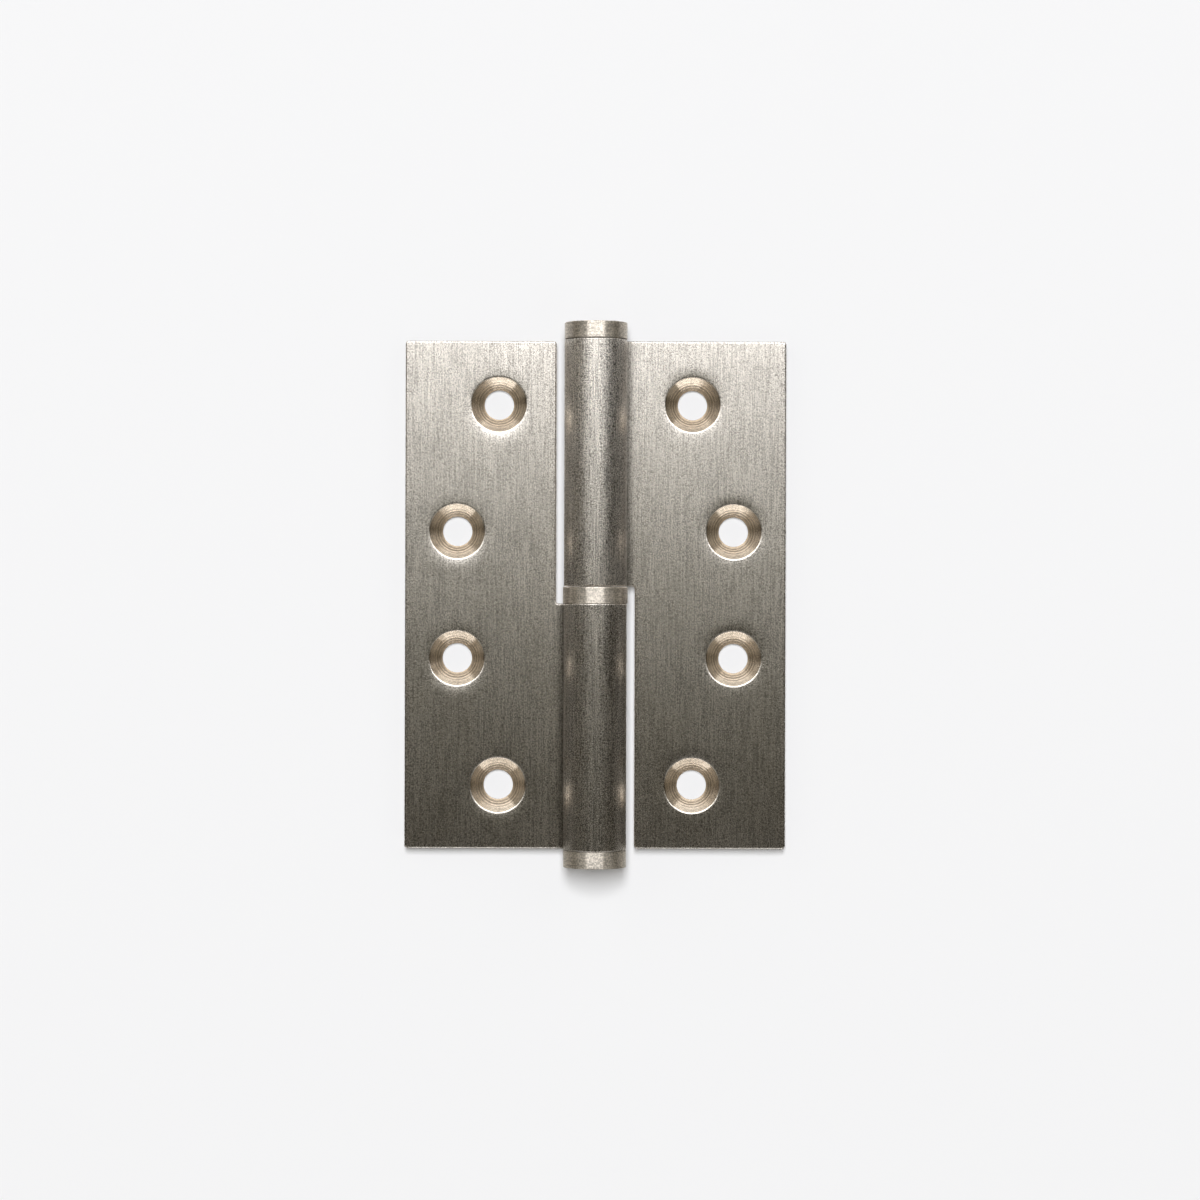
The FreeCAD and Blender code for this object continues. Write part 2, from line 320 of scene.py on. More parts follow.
def start_metal(name):
    """Material with a metal shader, and the place on the piece in its own coordinates."""
    material = bpy.data.materials.new(name)
    material.use_nodes = True
    tree = material.node_tree
    tree.nodes.clear()
    shader = add_node(tree, "ShaderNodeBsdfPrincipled", {"Metallic": 1.0})
    output = add_node(tree, "ShaderNodeOutputMaterial")
    tree.links.new(shader.outputs[0], output.inputs["Surface"])
    place = add_node(tree, "ShaderNodeTexCoord").outputs["Object"]
    return material, tree, shader, place


def brush_along(tree, shader, way, stretch):
    """Stretches the gloss across the way of the scratches, given in the piece's own axes."""
    turned = add_node(tree, "ShaderNodeVectorTransform", {"Vector": way},
                      vector_type="VECTOR", convert_from="OBJECT", convert_to="WORLD")
    tree.links.new(turned.outputs[0], shader.inputs["Tangent"])
    shader.inputs["Anisotropic"].default_value = stretch
    shader.inputs["Anisotropic Rotation"].default_value = 0.25


def finish_metal(tree, shader, colour, roughness, height, depth):
    """Gives a metal its colour, its roughness and its relief, whose height from 0 to 1 is that deep."""
    bump = add_node(tree, "ShaderNodeBump", {"Strength": 1.0, "Distance": depth, "Height": height})
    for name, value in (("Base Color", colour), ("Roughness", roughness), ("Normal", bump.outputs[0])):
        tree.links.new(value, shader.inputs[name])


def add_shades(tree, colour, tone, dark, light, spread):
    """The colour made darker or lighter by those shares, as the tone lies below or above its middle."""
    darker = [dark * part for part in colour]
    lighter = [min(1.0, light * part) for part in colour]
    return add_colour_mix(tree, add_remap(tree, tone, 0.5 - spread, 0.5 + spread), darker, lighter)


def leaf_finish(finishes):
    """Satin nickel, brushed along the pin's line, over the fine pits of the plate."""
    material, tree, shader, place = start_metal("satin_nickel_brushed")
    way = add_node(tree, "ShaderNodeCombineXYZ", {"Z": 1.0}).outputs[0]
    brush_along(tree, shader, way, stretch=0.92)
    streaks = add_grain(tree, place, (0.15 * MM, 0.15 * MM, 7.0 * MM), detail=2.0, roughness=0.6)
    pits = add_grain(tree, place, (0.16 * MM, 0.16 * MM, 0.19 * MM), detail=1.0)
    clouds = add_grain(tree, place, (7.0 * MM, 7.0 * MM, 16.0 * MM), detail=2.0)
    at = add_node(tree, "ShaderNodeSeparateXYZ", {0: place}).outputs
    sideways = add_maths(tree, "ABSOLUTE", at["X"])
    rolled = add_remap(tree, sideways, KNUCKLE_RADIUS + 1.5 * MM, KNUCKLE_RADIUS)
    streak_share = 0.37
    tone = add_node(tree, "ShaderNodeMix", {0: streak_share, 2: pits, 3: streaks}).outputs[0]

    # Each value goes from the flat leaf's to the rolled knuckle's.
    spread = add_remap(tree, rolled, 0.0, 1.0, 0.095, 0.07)
    darkest = add_maths(tree, "SUBTRACT", 0.5, spread)
    lightest = add_maths(tree, "ADD", 0.5, spread)
    dark = add_remap(tree, rolled, 0.0, 1.0, 0.57, 0.43)
    light = add_remap(tree, rolled, 0.0, 1.0, 1.37, 1.52)
    shade = add_remap(tree, tone, darkest, lightest, dark, light)
    brushed = add_node(tree, "ShaderNodeVectorMath", {0: finishes.leaf_colour, "Scale": shade},
                       operation="SCALE").outputs[0]

    # Painted shade: the colour darkens in the valley beside the knuckle and in the grooves at its ends,
    # where shade falls.
    front_face = KNUCKLE_RADIUS - SHEET
    from_face = add_maths(tree, "ABSOLUTE", add_maths(tree, "SUBTRACT", at["Y"], front_face))
    valley_shade = add_maths(tree, "MULTIPLY", add_remap(tree, from_face, 0.6 * MM, 0.3 * MM),
                       add_remap(tree, sideways, KNUCKLE_RADIUS + 1.75 * MM, KNUCKLE_RADIUS))
    past_end = add_remap(tree, add_maths(tree, "ABSOLUTE", at["Z"]), HALF_HEIGHT - 0.3 * MM,
                         HALF_HEIGHT - 0.05 * MM)
    groove_shade = add_maths(tree, "MULTIPLY", past_end, add_remap(
        tree, sideways, KNUCKLE_RADIUS + 0.1 * MM, KNUCKLE_RADIUS, 0.0, 0.6))
    crevice_shade_share = 0.66
    crevice_shade = add_maths(tree, "MULTIPLY", add_maths(tree, "MAXIMUM", valley_shade, groove_shade), crevice_shade_share)
    colour = add_colour_mix(tree, crevice_shade, brushed, CREVICE_SHADE)
    roughness = add_maths(tree, "ADD", add_remap(tree, pits, GRAIN_LOW, GRAIN_HIGH, 0.25, 0.31),
                          add_remap(tree, clouds, GRAIN_LOW, GRAIN_HIGH, -0.02, 0.02))
    relief = add_maths(tree, "MULTIPLY", tone, add_remap(tree, rolled, 0.0, 1.0, 1.0, 1.8))
    finish_metal(tree, shader, colour, roughness, relief, depth=0.018 * MM)
    return material


def cut_finish(finishes):
    """Bright cut metal with the countersink's fine rings."""
    material, tree, shader, _ = start_metal("countersink_cut")
    from_centre = add_node(tree, "ShaderNodeAttribute", attribute_name="from_centre").outputs["Vector"]
    way = add_node(tree, "ShaderNodeVectorMath", {0: BACK_WAY, 1: from_centre},
                   operation="CROSS_PRODUCT").outputs[0]
    brush_along(tree, shader, way, stretch=0.80)
    reach = add_node(tree, "ShaderNodeVectorMath", {0: from_centre}, operation="LENGTH").outputs["Value"]
    ring_pitch = 0.16 * MM
    rings = add_node(tree, "ShaderNodeTexNoise", {
        "W": add_maths(tree, "MULTIPLY", reach, 1 / ring_pitch), "Scale": 1.0, "Detail": 3.0,
        "Roughness": 0.6}, noise_dimensions="1D").outputs["Fac"]
    chatter = add_grain(tree, from_centre, (0.5 * MM, 0.5 * MM, 0.5 * MM), detail=2.0)
    tone = add_maths(tree, "ADD", add_maths(tree, "MULTIPLY", rings, 0.75),
                     add_maths(tree, "MULTIPLY", chatter, 0.25))
    shades = add_shades(tree, finishes.cut_colour, tone, dark=0.58, light=1.28, spread=0.15)
    roughness = add_remap(tree, rings, GRAIN_LOW, GRAIN_HIGH, 0.18, 0.25)
    finish_metal(tree, shader, shades, roughness, rings, depth=0.012 * MM)
    return material


def round_the_pin(tree, place):
    """Way round the pin's line at a place."""
    return add_node(tree, "ShaderNodeVectorMath", {0: PIN_WAY, 1: place},
                    operation="CROSS_PRODUCT").outputs[0]


def turned_finish(finishes):
    """Satin nickel as it comes from turning: fine rings, softened by the plating."""
    material, tree, shader, place = start_metal("satin_nickel_turned")
    brush_along(tree, shader, round_the_pin(tree, place), stretch=0.93)
    pits = add_grain(tree, place, (0.3 * MM, 0.3 * MM, 0.3 * MM), detail=1.0)
    rings = add_grain(tree, place, (2.5 * MM, 2.5 * MM, 0.14 * MM), detail=2.0)
    tone = add_maths(tree, "ADD", add_maths(tree, "MULTIPLY", rings, 0.4),
                     add_maths(tree, "MULTIPLY", pits, 0.6))
    turned = add_shades(tree, finishes.turned_colour, tone, dark=0.64, light=1.28, spread=0.12)
    height = add_maths(tree, "ABSOLUTE", add_node(tree, "ShaderNodeSeparateXYZ", {0: place}).outputs["Z"])
    # Painted shade: the colour darkens in the groove where a cap meets the knuckle's end.
    from_knuckle = add_maths(tree, "ABSOLUTE", add_maths(tree, "SUBTRACT", height, HALF_HEIGHT))
    groove_shade = add_remap(tree, from_knuckle, 0.28 * MM, 0.04 * MM, 0.0, 0.55)
    colour = add_colour_mix(tree, groove_shade, turned, CREVICE_SHADE)
    roughness = add_remap(tree, pits, GRAIN_LOW, GRAIN_HIGH, 0.34, 0.40)
    finish_metal(tree, shader, colour, roughness, tone, depth=0.009 * MM)
    return material


def pin_finish(finishes):
    """Ground steel with faint rings and a film of oil."""
    material, tree, shader, place = start_metal("ground_steel")
    brush_along(tree, shader, round_the_pin(tree, place), stretch=0.7)
    rings = add_grain(tree, place, (3.0 * MM, 3.0 * MM, 0.1 * MM), detail=3.0)
    film = add_grain(tree, place, (4.0 * MM, 4.0 * MM, 9.0 * MM), detail=2.0)
    shades = add_shades(tree, finishes.pin_colour, rings, dark=0.86, light=1.06, spread=0.15)
    roughness = add_remap(tree, film, GRAIN_LOW, GRAIN_HIGH, 0.2, 0.3)
    finish_metal(tree, shader, shades, roughness, rings, depth=0.003 * MM)
    return material


# Outlines

def rounded_corner(before, corner, after, radius, steps):
    """Places and outward ways on the arc that rounds a corner of an outline that runs anticlockwise."""
    to_before = (before - corner).normalized()
    to_after = (after - corner).normalized()
    half_angle = to_before.angle(to_after) / 2
    centre = corner + (to_before + to_after).normalized() * (radius / math.sin(half_angle))
    start = corner + to_before * (radius / math.tan(half_angle)) - centre
    side = 1.0 if to_before.cross(to_after) < 0 else -1.0
    sweep = side * (HALF_TURN - 2 * half_angle)
    stations = []
    for step in range(steps + 1):
        spoke = Matrix.Rotation(sweep * step / steps, 2) @ start
        stations.append((centre + spoke, spoke.normalized() * side))
    return stations


def rounded_outline(corners, steps):
    """Stations round a closed outline of (across, up, rounding) corners that runs anticlockwise."""
    places = [Vector(corner[:2]) for corner in corners]
    stations = []
    for index, (_, _, radius) in enumerate(corners):
        before = places[index - 1]
        after = places[(index + 1) % len(places)]
        stations += rounded_corner(before, places[index], after, radius, steps)
    return stations


def turned_section(corners, steps=5):
    """Open section from (radius, height, rounding) corners, sharp where the rounding is none."""
    places = [Vector(corner[:2]) for corner in corners]
    section = []
    for index, (_, _, radius) in enumerate(corners):
        if radius and 0 < index < len(corners) - 1:
            arc = rounded_corner(places[index - 1], places[index], places[index + 1], radius, steps)
            section += [place for place, _ in arc]
        else:
            section.append(places[index])
    return section


# Meshes

def add_object(name, data):
    """Object of a mesh, a light or a camera, in the scene."""
    made = bpy.data.objects.new(name, data)
    bpy.context.scene.collection.objects.link(made)
    return made


def smooth(mesh, sharp_angle=math.radians(30.0)):
    mesh.shade_smooth()
    mesh.set_sharp_from_angle(angle=sharp_angle)


def make_piece(name, mesh, material=None):
    """Object of the mesh in the scene, shaded by its broad faces."""
    mesh.name = name
    if material:
        mesh.materials.append(material)
    smooth(mesh)
    piece = add_object(name, mesh)
    shading = piece.modifiers.new("Broad faces first", "WEIGHTED_NORMAL")
    shading.mode = "FACE_AREA"
    shading.keep_sharp = True
    return piece


def circle_places(centre, radius, sides):
    angles = [FULL_TURN * side / sides for side in range(sides)]
    return [Vector((centre[0] + radius * math.cos(angle), centre[1] + radius * math.sin(angle)))
            for angle in angles]


def turn(section, sides, closed=False):
    """Mesh of a section turned about the Z axis: its points are (radius, height)."""
    shape = bmesh.new()
    rounds = []
    for radius, height in section:
        if radius < CLOSE:
            rounds.append([shape.verts.new((0.0, 0.0, height))] * sides)
            continue
        circle = circle_places((0.0, 0.0), radius, sides)
        rounds.append([shape.verts.new((*at, height)) for at in circle])
    pairs = list(zip(rounds, rounds[1:]))
    if closed:
        pairs.append((rounds[-1], rounds[0]))
    for lower, upper in pairs:
        for side in range(sides):
            after = (side + 1) % sides
            corners = []
            for vertex in (lower[side], lower[after], upper[after], upper[side]):
                if vertex not in corners:
                    corners.append(vertex)
            if len(corners) > 2:
                shape.faces.new(corners)
    bmesh.ops.recalc_face_normals(shape, faces=shape.faces)
    mesh = bpy.data.meshes.new("turned")
    shape.to_mesh(mesh)
    shape.free()
    return mesh


def hole_centres(holes):
    centres = []
    pairs = ((holes.end_inset, holes.end_spacing), (holes.middle_inset, holes.middle_spacing))
    for inset, spacing in pairs:
        centres += [(-inset, -spacing / 2), (-inset, spacing / 2)]
    return centres


def blank_stations(leaf, curl_length):
    """Stations round the flat blank of the strip, with one at each flat of the curl along its two ends.
    The pin line is at 0, and what lies past it is rolled later."""
    notch_edge = KNUCKLE_RADIUS + leaf.notch_clearance
    end_rounding = leaf.curl_rounding
    corners = [
        (-LEAF_WIDTH, -HALF_HEIGHT, leaf.corner_rounding),
        (curl_length, -HALF_HEIGHT, end_rounding),
        (curl_length, -HALF_GAP, end_rounding),
        (-notch_edge, -HALF_GAP, leaf.notch_rounding),
        (-notch_edge, HALF_HEIGHT, leaf.corner_rounding),
        (-LEAF_WIDTH, HALF_HEIGHT, leaf.corner_rounding),
    ]
    straight = curl_length - end_rounding
    columns = [straight * step / leaf.curl_steps for step in range(leaf.curl_steps)]
    columns += [-ROUNDING_FADE * (step + 1) / FADE_STEPS for step in range(FADE_STEPS)]
    stations = rounded_outline(corners, CORNER_STEPS)
    filled = []
    for index, (place, outward) in enumerate(stations):
        filled.append((place, outward))
        after = stations[(index + 1) % len(stations)][0]
        if abs(after.y - place.y) > CLOSE or abs(after.x - place.x) < leaf.corner_rounding:
            continue
        ahead = [across for across in columns
                 if min(place.x, after.x) + CLOSE < across < max(place.x, after.x) - CLOSE]
        ahead.sort(reverse=after.x < place.x)
        filled += [(Vector((across, place.y)), outward) for across in ahead]
    return filled, columns


def edge_layers(front, back, thickness):
    """Inset and depth of each layer round the strip's edge, from its front face to its back."""
    angles = [QUARTER_TURN * step / EDGE_STEPS for step in range(EDGE_STEPS + 1)]
    layers = [(front * (1 - math.sin(angle)), front * (1 - math.cos(angle))) for angle in angles]
    layers += [(back * (1 - math.cos(angle)), thickness - back * (1 - math.sin(angle)))
               for angle in angles]
    return layers


def fill_face(shape, loop, circles, columns):
    """Fills one face of the blank between its outline and the circles, with an edge at each column."""
    vertices = []
    edges = []
    circle_of = []
    for number, ring in enumerate([loop, *circles]):
        first = len(vertices)
        count = len(ring)
        edges += [(first + index, first + (index + 1) % count) for index in range(count)]
        circle_of += [number] * count
        vertices += ring
    places = [Vector((vertex.co.x, vertex.co.z)) for vertex in vertices]
    for across in columns:
        ends = [index for index, vertex in enumerate(loop) if abs(vertex.co.x - across) < CLOSE]
        if len(ends) == 2:
            edges.append(tuple(ends))
    found = delaunay_2d_cdt(places, edges, [], 1, CLOSE / 10)
    origin = [sources[0] for sources in found[3]]
    for face in found[2]:
        corners = [origin[index] for index in face]
        touched = {circle_of[corner] for corner in corners}
        inside_circle = len(touched) == 1 and touched != {0}
        if not inside_circle:
            shape.faces.new([vertices[corner] for corner in corners])


def make_blank(leaf, holes, curl_length):
    """Flat blank of a leaf, as (along the strip, depth from the front face, height)."""
    stations, columns = blank_stations(leaf, curl_length)
    shape = bmesh.new()
    loops = []
    for layer in range(2 * (EDGE_STEPS + 1)):
        loop = []
        for place, outward in stations:
            faded = min(1.0, max(0.0, -place.x / ROUNDING_FADE))
            front = leaf.bore_rounding + (leaf.front_rounding - leaf.bore_rounding) * faded
            inset, depth = edge_layers(front, leaf.back_rounding, leaf.thickness)[layer]
            at = place - outward * inset
            loop.append(shape.verts.new((at.x, depth, at.y)))
        loops.append(loop)
    for front_loop, back_loop in zip(loops, loops[1:]):
        for index in range(len(stations)):
            after = (index + 1) % len(stations)
            shape.faces.new((front_loop[index], front_loop[after], back_loop[after], back_loop[index]))
    for loop, depth, radius in (
        (loops[0], 0.0, dish_radius(holes)),
        (loops[-1], leaf.thickness, holes.hole_diameter / 2 + leaf.bore_rounding),
    ):
        circles = []
        for centre in hole_centres(holes):
            circles.append([shape.verts.new((at.x, depth, at.y))
                            for at in circle_places(centre, radius, holes.sides)])
        fill_face(shape, loop, circles, columns)
    bmesh.ops.recalc_face_normals(shape, faces=shape.faces)
    mesh = bpy.data.meshes.new("blank")
    shape.to_mesh(mesh)
    shape.free()
    return mesh


def dish_radius(holes):
    return holes.mouth_diameter / 2 + holes.dish_width


def dish_depth(holes, along):
    """Depth of the hollowed face, from its outer edge at 0 to the mouth at 1."""
    power = DISH_POWER + 1
    return math.tan(holes.dish_slope) * holes.dish_width * along ** power / power


def hole_section(leaf, holes):
    """Section of a screw hole from the dish's outer edge to the back, as (radius, depth), with the
    number of its points that belong to the leaf's own face."""
    mouth = holes.mouth_diameter / 2
    bore = holes.hole_diameter / 2
    outer = dish_radius(holes)
    dish = []
    for step in range(DISH_STEPS):
        along = step / DISH_STEPS
        dish.append(Vector((outer - holes.dish_width * along, dish_depth(holes, along))))
    rim = Vector((mouth, dish_depth(holes, 1.0)))
    land = Vector((bore, holes.sink_depth))
    arc = [place for place, _ in rounded_corner(dish[-1], rim, land, holes.rim_rounding, EDGE_STEPS)]
    back_break = leaf.bore_rounding
    cut = [land, Vector((bore, leaf.thickness - back_break)), Vector((bore + back_break, leaf.thickness))]
    middle = len(arc) // 2
    return dish + arc + cut, len(dish) + middle


def make_hole(leaf, holes):
    """Surface of one screw hole about its own centre, marked with what the countersink has cut."""
    section, face_points = hole_section(leaf, holes)
    back_points = 2
    shape = bmesh.new()
    cut = shape.faces.layers.float.new("cut")
    from_centre = shape.verts.layers.float_vector.new("from_centre")
    rounds = []
    for step, (radius, depth) in enumerate(section):
        hollow = min(depth, section[DISH_STEPS].y)
        lean = holes.dish_lean if step < len(section) - back_points else 0.0
        ring = []
        for at in circle_places((0.0, 0.0), radius, holes.sides):
            shallower = hollow * lean * (1 + at.y / radius) / 2
            vertex = shape.verts.new((at.x, depth - shallower, at.y))
            vertex[from_centre] = vertex.co
            ring.append(vertex)
        rounds.append(ring)
    for step, (outer, inner) in enumerate(zip(rounds, rounds[1:])):
        for side in range(holes.sides):
            after = (side + 1) % holes.sides
            face = shape.faces.new((outer[side], outer[after], inner[after], inner[side]))
            face[cut] = 1.0 if step >= face_points else 0.0
    mesh = bpy.data.meshes.new("screw_hole")
    shape.to_mesh(mesh)
    shape.free()
    return add_object("screw_hole", mesh)


def leaf_tree():
    """Tree that repeats the screw hole on the blank, rolls what lies past the pin line round the pin,
    and gives the metal its finishes."""
    tree = bpy.data.node_groups.new("Hinge leaf", "GeometryNodeTree")
    tree.interface.new_socket("Geometry", in_out="OUTPUT", socket_type="NodeSocketGeometry")
    tree.interface.new_socket("Geometry", in_out="INPUT", socket_type="NodeSocketGeometry")
    tree.interface.new_socket("Screw hole", in_out="INPUT", socket_type="NodeSocketObject")
    for name in ("End inset", "End spacing", "Middle inset", "Middle spacing", "Bore radius", "Thickness"):
        tree.interface.new_socket(name, in_out="INPUT", socket_type="NodeSocketFloat")
    for name in ("Leaf finish", "Cut finish"):
        tree.interface.new_socket(name, in_out="INPUT", socket_type="NodeSocketMaterial")
    given = add_node(tree, "NodeGroupInput").outputs

    # The screw holes, in pairs one above the other.
    pairs = []
    for where in ("End", "Middle"):
        across = add_maths(tree, "MULTIPLY", given[where + " inset"], -1.0)
        spacing = given[where + " spacing"]
        lowest = add_node(tree, "ShaderNodeCombineXYZ",
                          {"X": across, "Z": add_maths(tree, "MULTIPLY", spacing, -0.5)}).outputs[0]
        step = add_node(tree, "ShaderNodeCombineXYZ", {"Z": spacing}).outputs[0]
        line = add_node(tree, "GeometryNodeMeshLine",
                        {"Count": 2, "Start Location": lowest, "Offset": step}, mode="OFFSET")
        pairs.append(line.outputs[0])
    centres = add_node(tree, "GeometryNodeJoinGeometry")
    for pair in pairs:
        tree.links.new(pair, centres.inputs[0])
    hole = add_node(tree, "GeometryNodeObjectInfo", {"Object": given["Screw hole"]}).outputs["Geometry"]
    holes = add_node(tree, "GeometryNodeInstanceOnPoints",
                     {"Points": centres.outputs[0], "Instance": hole}).outputs[0]
    joined = add_node(tree, "GeometryNodeJoinGeometry")
    for part in (given["Geometry"], add_node(tree, "GeometryNodeRealizeInstances", {0: holes}).outputs[0]):
        tree.links.new(part, joined.inputs[0])
    welded = add_node(tree, "GeometryNodeMergeByDistance",
                      {"Geometry": joined.outputs[0], "Distance": WELD})

    # The roll: the strip's depth adds to the bore's radius, and its length past the pin line, measured
    # on the knuckle's outside, is the angle.
    at = add_node(tree, "ShaderNodeSeparateXYZ",
                  {0: add_node(tree, "GeometryNodeInputPosition").outputs[0]}).outputs
    radius = add_maths(tree, "ADD", given["Bore radius"], at["Y"])
    outside = add_maths(tree, "ADD", given["Bore radius"], given["Thickness"])
    angle = add_maths(tree, "DIVIDE", add_maths(tree, "MAXIMUM", at["X"], 0.0), outside)
    sideways = add_maths(tree, "MULTIPLY", radius, add_maths(tree, "SINE", angle))
    rolled = add_node(tree, "ShaderNodeCombineXYZ", {
        "X": add_maths(tree, "ADD", add_maths(tree, "MINIMUM", at["X"], 0.0), sideways),
        "Y": add_maths(tree, "MULTIPLY", radius, add_maths(tree, "COSINE", angle)),
        "Z": at["Z"],
    }).outputs[0]
    placed = add_node(tree, "GeometryNodeSetPosition", {"Geometry": welded.outputs[0], "Position": rolled})

    whole = add_node(tree, "GeometryNodeRealizeInstances", {0: placed.outputs[0]}).outputs[0]
    plain = add_node(tree, "GeometryNodeSetMaterial", {"Geometry": whole, "Material": given["Leaf finish"]})
    cut = add_node(tree, "GeometryNodeInputNamedAttribute", {"Name": "cut"}, data_type="FLOAT").outputs[0]
    is_cut = add_maths(tree, "GREATER_THAN", cut, 0.5)
    finished = add_node(tree, "GeometryNodeSetMaterial", {
        "Geometry": plain.outputs[0], "Selection": is_cut, "Material": given["Cut finish"]})
    add_node(tree, "NodeGroupOutput", {0: finished.outputs[0]})
    return tree


def set_inputs(modifier, values):
    """Sets a tree's inputs by the names that its interface gives them."""
    for item in modifier.node_group.interface.items_tree:
        if item.item_type == "SOCKET" and item.in_out == "INPUT" and item.name in values:
            modifier[item.identifier] = values[item.name]


def baked_mesh(source):
    """Plain mesh of what the object's modifiers make of it."""
    bpy.context.view_layer.update()
    graph = bpy.context.evaluated_depsgraph_get()
    return bpy.data.meshes.new_from_object(source.evaluated_get(graph))


def check_closed(mesh):
    """Stops if the mesh has an open edge."""
    shape = bmesh.new()
    shape.from_mesh(mesh)
    open_edges = sum(1 for edge in shape.edges if not edge.is_manifold)
    shape.free()
    if open_edges:
        raise RuntimeError(f"{mesh.name} has {open_edges} open edges")


# Operators

class HINGE_OT_make_leaves(bpy.types.Operator):
    """Builds the frame leaf and the door leaf, rolled and countersunk"""
    bl_idname = "hinge.make_leaves"
    bl_label = "Leaves"

    def execute(self, context):
        leaf = context.scene.hinge_leaf
        holes = context.scene.hinge_holes
        bore_radius = KNUCKLE_RADIUS - leaf.thickness
        end_angle = FULL_TURN - math.acos((bore_radius - leaf.seam_gap) / KNUCKLE_RADIUS)
        blank = add_object("blank", make_blank(leaf, holes, end_angle * KNUCKLE_RADIUS))
        hole = make_hole(leaf, holes)
        finishes = context.scene.hinge_finishes
        rolling = blank.modifiers.new("Hinge leaf", "NODES")
        rolling.node_group = leaf_tree()
        set_inputs(rolling, {
            "Screw hole": hole,
            "End inset": holes.end_inset,
            "End spacing": holes.end_spacing,
            "Middle inset": holes.middle_inset,
            "Middle spacing": holes.middle_spacing,
            "Bore radius": bore_radius,
            "Thickness": leaf.thickness,
            "Leaf finish": leaf_finish(finishes),
            "Cut finish": cut_finish(finishes),
        })
        frame_mesh = baked_mesh(blank)
        door_mesh = frame_mesh.copy()
        door_mesh.transform(Matrix.Rotation(HALF_TURN, 4, "Y"))
        for scaffold in (blank, hole):
            bpy.data.objects.remove(scaffold)
        for name, mesh in (("frame_leaf", frame_mesh), ("door_leaf", door_mesh)):
            check_closed(mesh)
            piece = make_piece("satin_" + name, mesh)
            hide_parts(name)
            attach(piece, name)
        return {"FINISHED"}


class HINGE_OT_make_pin(bpy.types.Operator):
    """Builds the ground pin"""
    bl_idname = "hinge.make_pin"
    bl_label = "Pin"

    def execute(self, context):
        turned = context.scene.hinge_turned
        pressed = PIN_HIGH.x
        running = pressed - turned.running_clearance
        section = turned_section([
            (0.0, PIN_LOW.z, 0.0),
            (pressed, PIN_LOW.z, turned.foot_rounding),
            (pressed, -HALF_GAP, 0.0),
            (running, -HALF_GAP, 0.0),
            (running, PIN_HIGH.z - turned.tip_length, turned.tip_rounding),
            (running - turned.tip_taper, PIN_HIGH.z, turned.tip_rounding),
            (0.0, PIN_HIGH.z, 0.0),
        ])
        mesh = turn(section, turned.sides)
        check_closed(mesh)
        piece = make_piece("ground_pin", mesh, pin_finish(context.scene.hinge_finishes))
        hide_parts("hinge_pin")
        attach(piece, "frame_leaf")
        return {"FINISHED"}


class HINGE_OT_make_ring_and_caps(bpy.types.Operator):
    """Builds the bearing ring and the two caps"""
    bl_idname = "hinge.make_ring_and_caps"
    bl_label = "Ring and caps"

    def execute(self, context):
        turned = context.scene.hinge_turned
        finish = turned_finish(context.scene.hinge_finishes)
        bore = PIN_HIGH.x
        edge = turned.ring_rounding
        ring_section = turned_section([
            (bore, (RING_LOW.z + RING_HIGH.z) / 2, 0.0),
            (bore, RING_LOW.z, edge),
            (RING_HIGH.x, RING_LOW.z, edge),
            (RING_HIGH.x, RING_HIGH.z, edge),
            (bore, RING_HIGH.z, edge),
            (bore, (RING_LOW.z + RING_HIGH.z) / 2, 0.0),
        ])
        ring_mesh = turn(ring_section[:-1], turned.sides, closed=True)
        edge = turned.cap_rounding
        cap_section = turned_section([
            (0.0, CAP_LOW.z, 0.0),
            (CAP_HIGH.x, CAP_LOW.z, edge),
            (CAP_HIGH.x, -HALF_HEIGHT, edge),
            (bore, -HALF_HEIGHT, 0.0),
            (bore, CAP_HIGH.z, turned.spigot_rounding),
            (0.0, CAP_HIGH.z, 0.0),
        ])
        bottom_mesh = turn(cap_section, turned.sides)
        top_mesh = bottom_mesh.copy()
        top_mesh.transform(Matrix.Rotation(HALF_TURN, 4, "Y"))
        for name, node, body, mesh in (
            ("turned_ring", "bearing_ring", "bearing_ring", ring_mesh),
            ("turned_bottom_cap", "bottom_cap", "frame_leaf", bottom_mesh),
            ("turned_top_cap", "top_cap", "door_leaf", top_mesh),
        ):
            check_closed(mesh)
            piece = make_piece(name, mesh, finish)
            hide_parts(node)
            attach(piece, body)
        return {"FINISHED"}


# Stage

def board_material(colour):
    """White board, seen by the camera from its front only, so that the hinge's back stays in view."""
    material = bpy.data.materials.new("white_board")
    material.use_nodes = True
    tree = material.node_tree
    tree.nodes.clear()
    from_camera = add_node(tree, "ShaderNodeLightPath").outputs["Is Camera Ray"]
    from_behind = add_node(tree, "ShaderNodeNewGeometry").outputs["Backfacing"]
    shown = add_maths(tree, "MULTIPLY", from_camera, add_maths(tree, "SUBTRACT", 1.0, from_behind))
    paint = add_node(tree, "ShaderNodeBsdfDiffuse", {"Color": (*colour, 1.0)})
    clear = add_node(tree, "ShaderNodeBsdfTransparent")
    mixed = add_node(tree, "ShaderNodeMixShader", {0: shown, 1: clear.outputs[0], 2: paint.outputs[0]})
    add_node(tree, "ShaderNodeOutputMaterial", {"Surface": mixed.outputs[0]})
    return material


def make_board(stage):
    half = stage.board_size / 2
    depth = KNUCKLE_RADIUS + stage.board_gap
    mesh = bpy.data.meshes.new("board")
    corners = [(-half, depth, -half), (half, depth, -half), (half, depth, half), (-half, depth, half)]
    mesh.from_pydata(corners, [], [(0, 1, 2, 3)])
    mesh.materials.append(board_material(stage.board_colour))
    board = add_object("board", mesh)


def start_glow(light):
    """Empty node tree for what a light gives off."""
    light.data.use_nodes = True
    tree = light.data.node_tree
    tree.nodes.clear()
    return tree


